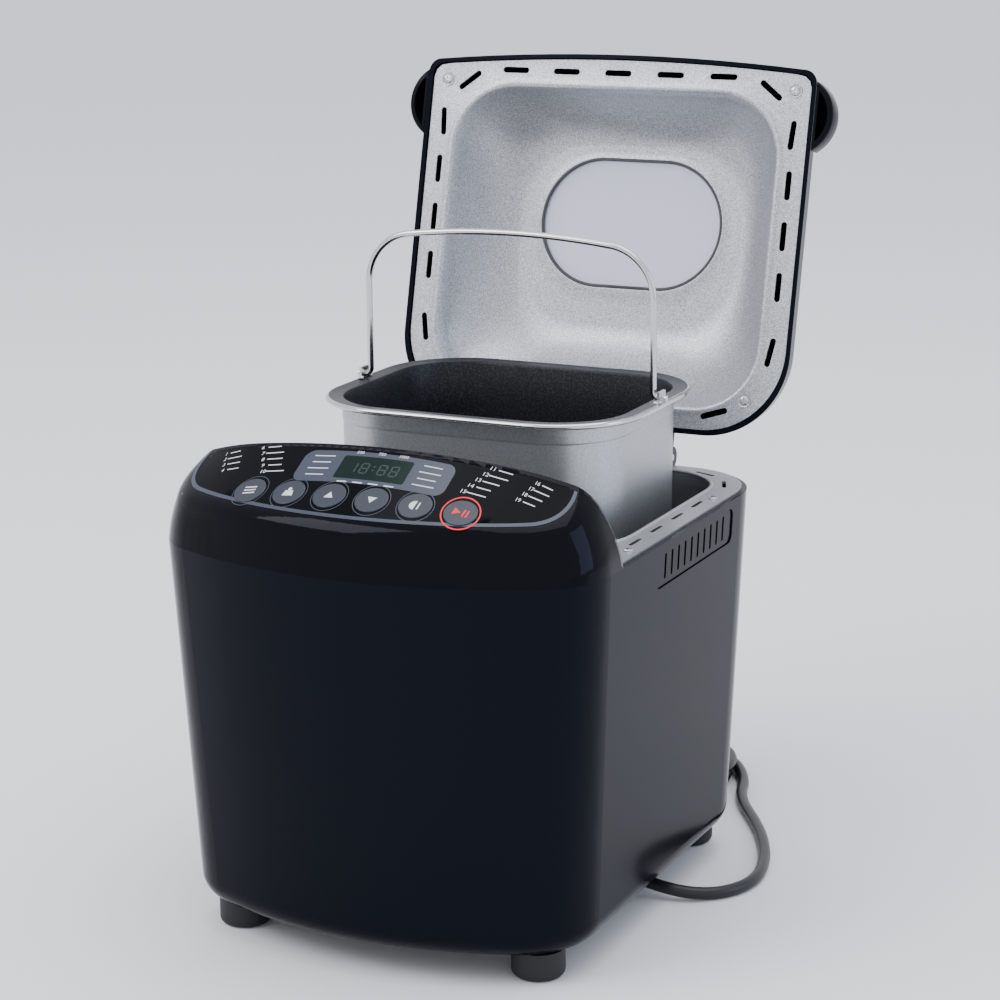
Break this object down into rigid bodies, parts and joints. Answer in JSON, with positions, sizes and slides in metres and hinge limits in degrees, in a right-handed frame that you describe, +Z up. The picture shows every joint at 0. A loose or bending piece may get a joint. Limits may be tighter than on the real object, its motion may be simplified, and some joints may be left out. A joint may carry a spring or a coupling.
{
  "type": "bread machine",
  "caption": "Countertop bread machine with gloss black housing, sloped control fascia, hinged domed lid with window, lift-out pan with bail, kneading drive and mains lead",
  "frame": {"origin": "Middle of the footprint of the whole appliance with the lid open, on the table, under the feet", "axes": "+Z up from the table, +Y from the control fascia to the lid hinge, +X to the right seen from the front"},
  "size_m": [0.2901, 0.4211, 0.4503],
  "materials": {
    "housing_gloss_black": "high-gloss black moulding",
    "fascia_gloss_black": "high-gloss black moulding",
    "overlay_film": "printed polyester film",
    "button_grey": "satin blue-grey moulding",
    "lcd_glass": "dark display window",
    "black_plastic": "fine-grained black moulding",
    "silver_paint": "silver metallic paint",
    "silver_sheet": "satin coated steel sheet",
    "window_glass": "clear tempered glass",
    "pan_aluminium": "satin cast aluminium",
    "nonstick_coat": "dark non-stick coating",
    "chrome_wire": "bright chrome-plated wire",
    "steel_zinc": "zinc-plated steel",
    "element_steel": "heat-toned stainless tube",
    "silicone_grey": "soft silicone",
    "foot_rubber": "moulded rubber",
    "belt_rubber": "ribbed rubber belt",
    "board_green": "solder-masked laminate",
    "cord_pvc": "black flexible PVC"
  },
  "bodies": {
    "housing": {"outer_housing": "housing_gloss_black", "base_cover": "black_plastic", "rubber_feet": "foot_rubber", "vent_grille_right": "black_plastic", "vent_grille_left": "black_plastic", "deck_ring": "silver_sheet", "deck_screws": "steel_zinc", "chamber_liner": "silver_sheet", "heating_element": "element_steel", "element_clips": "steel_zinc", "temperature_sensor": "steel_zinc", "pan_socket": "silver_sheet", "spring_clips": "steel_zinc", "chassis_plate": "steel_zinc", "bearing_block": "steel_zinc", "drive_belt": "belt_rubber", "motor_body": "steel_zinc", "motor_mounts": "silicone_grey", "motor_capacitor": "black_plastic", "power_board": "board_green", "control_fascia": "fascia_gloss_black", "panel_overlay": "overlay_film", "lcd_lens": "lcd_glass", "lcd_module": "lcd_glass", "control_board": "board_green", "tact_switches": "black_plastic", "hinge_pins": "steel_zinc", "hinge_brackets": "black_plastic", "strain_relief": "cord_pvc", "power_cord": "cord_pvc", "cord_coil": "cord_pvc", "cord_tie": "black_plastic", "mains_plug": "cord_pvc"},
    "lid": {"lid_shell": "housing_gloss_black", "lid_plate": "silver_paint", "window_gasket": "silicone_grey", "window_inner": "window_glass", "window_outer": "window_glass", "lid_screws": "steel_zinc", "lid_grips": "black_plastic"},
    "pan": {"pan_body": "pan_aluminium", "pan_base_ring": "pan_aluminium", "pan_seal": "silicone_grey", "bail_brackets": "steel_zinc"},
    "kneader": {"pan_shaft": "steel_zinc", "pan_coupling": "steel_zinc", "kneading_paddle": "nonstick_coat"},
    "bail": {"bail_handle": "chrome_wire"},
    "drive": {"drive_shaft": "steel_zinc", "drive_coupling": "steel_zinc", "large_pulley": "black_plastic"},
    "motor_rotor": {"motor_shaft": "steel_zinc", "motor_pulley": "steel_zinc"},
    "key_menu": {"button_menu": "button_grey"},
    "key_weight": {"button_weight": "button_grey"},
    "key_up": {"button_up": "button_grey"},
    "key_down": {"button_down": "button_grey"},
    "key_colour": {"button_colour": "button_grey"},
    "key_start": {"button_start": "button_grey"}
  },
  "joints": [
    {"name": "lid_hinge", "type": "hinge", "parent": "housing", "child": "lid", "pos_m": [0, 0.1011, 0.2204], "axis": [-1, 0, 0], "range_deg": [-104.2, 0]},
    {"name": "pan_lift", "type": "slide", "parent": "housing", "child": "pan", "axis": [0, 0.2836, 0.9589], "range_m": [-0.07404, 0]},
    {"name": "bail_swing", "type": "hinge", "parent": "pan", "child": "bail", "pos_m": [0, 0.0015, 0.2783], "axis": [-1, 0, 0], "range_deg": [-90, 0]},
    {"name": "drive_spin", "type": "hinge", "parent": "housing", "child": "drive", "pos_m": [0, -0.0195, 0.022], "axis": [0, 0, 1], "continuous": true},
    {"name": "motor_spin", "type": "hinge", "parent": "housing", "child": "motor_rotor", "pos_m": [0, -0.1575, 0.022], "axis": [0, 0, 1], "continuous": true},
    {"name": "paddle_spin", "type": "hinge", "parent": "pan", "child": "kneader", "pos_m": [0, 0.0015, 0.1445], "axis": [0, 0, 1], "continuous": true},
    {"name": "press_menu", "type": "slide", "parent": "housing", "child": "key_menu", "axis": [0.1319, 0.4777, -0.8686], "range_m": [0, 0.0008], "stiffness_N_per_m": 400, "springref_m": -0.0005},
    {"name": "press_weight", "type": "slide", "parent": "housing", "child": "key_weight", "axis": [0.079, 0.4804, -0.8735], "range_m": [0, 0.0008], "stiffness_N_per_m": 400, "springref_m": -0.0005},
    {"name": "press_up", "type": "slide", "parent": "housing", "child": "key_up", "axis": [0.0263, 0.4818, -0.8759], "range_m": [0, 0.0008], "stiffness_N_per_m": 400, "springref_m": -0.0005},
    {"name": "press_down", "type": "slide", "parent": "housing", "child": "key_down", "axis": [-0.0263, 0.4818, -0.8759], "range_m": [0, 0.0008], "stiffness_N_per_m": 400, "springref_m": -0.0005},
    {"name": "press_colour", "type": "slide", "parent": "housing", "child": "key_colour", "axis": [-0.079, 0.4804, -0.8735], "range_m": [0, 0.0008], "stiffness_N_per_m": 400, "springref_m": -0.0005},
    {"name": "press_start", "type": "slide", "parent": "housing", "child": "key_start", "axis": [-0.1319, 0.4777, -0.8686], "range_m": [0, 0.0008], "stiffness_N_per_m": 400, "springref_m": -0.0005}
  ],
  "couplings": [
    {"joint": "pan_lift", "follows": "lid_hinge", "m_per_rad": 0.04071},
    {"joint": "bail_swing", "follows": "lid_hinge", "ratio": 0.8637},
    {"joint": "motor_spin", "follows": "drive_spin", "ratio": 4.6667},
    {"joint": "paddle_spin", "follows": "drive_spin", "ratio": 1}
  ]
}
